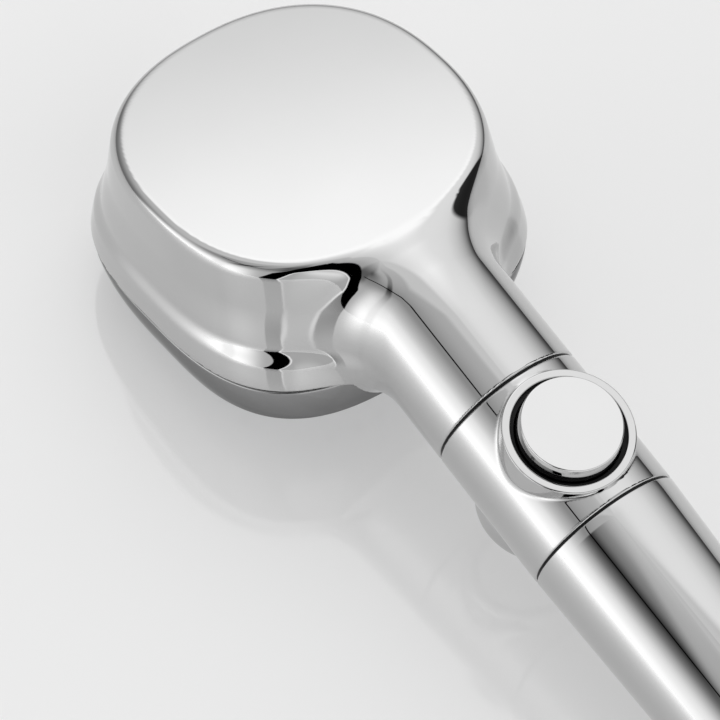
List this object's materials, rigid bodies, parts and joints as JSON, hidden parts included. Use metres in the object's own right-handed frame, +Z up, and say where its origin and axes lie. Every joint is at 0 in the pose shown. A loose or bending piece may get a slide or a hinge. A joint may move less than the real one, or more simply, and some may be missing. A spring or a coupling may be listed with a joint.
{
  "type": "handheld shower head",
  "caption": "Handheld shower head: rounded-square chrome head on a straight tapered handle, with a push-through stop button in a round collar and a threaded hose inlet.",
  "frame": {"origin": "middle of the bounding box's floor, on the flat surface that the shower head lies on with its spray face down", "axes": "+Z up from the surface, +X from the head towards the hose end of the handle, Y across the head; the part is symmetric about the XZ plane"},
  "size_m": [0.2516, 0.0778, 0.0519],
  "materials": {
    "chrome_shell": "bright chrome plating on plastic, mirror polished",
    "chrome_button": "bright chrome plating, mirror polished",
    "chrome_brass": "chrome-plated turned brass",
    "face_grey": "light grey moulded plastic, semi gloss",
    "silicone": "grey silicone, satin",
    "white_plastic": "white moulded plastic, satin",
    "black_plastic": "black moulded plastic, satin",
    "regulator_plastic": "blue moulded plastic, satin",
    "seal_rubber": "black rubber, matt",
    "screw_steel": "stainless steel, satin",
    "filter_steel": "fine woven stainless steel mesh"
  },
  "bodies": {
    "body": {"back_shell": "chrome_shell", "face_ring": "chrome_shell", "face_plate": "face_grey", "nozzle_mat": "silicone", "center_cap": "chrome_button", "center_screw": "screw_steel", "chamber_cover": "white_plastic", "chamber_screws": "screw_steel", "head_water_pipe": "white_plastic", "pipe_head_seal": "seal_rubber", "pipe_valve_seal": "seal_rubber", "valve_housing": "chrome_shell", "valve_body": "white_plastic", "rear_guide_ring": "black_plastic", "front_guide_ring": "black_plastic", "neck_joint_seal": "seal_rubber", "handle_joint_seal": "seal_rubber", "front_seam_ring": "black_plastic", "rear_seam_ring": "black_plastic", "handle_sleeve": "chrome_shell", "handle_water_tube": "white_plastic", "tube_front_seal": "seal_rubber", "tube_rear_seal": "seal_rubber", "inlet_connector": "chrome_brass", "connector_seal": "seal_rubber", "flow_regulator": "regulator_plastic", "inlet_filter": "filter_steel"},
    "spool": {"valve_spool": "black_plastic", "spool_seals": "seal_rubber", "rear_button": "chrome_button", "front_button": "chrome_button"}
  },
  "joints": [
    {"name": "stop_button", "type": "slide", "parent": "body", "child": "spool", "axis": [-0.1407, 0, -0.99], "range_m": [0, 0.0034]}
  ]
}
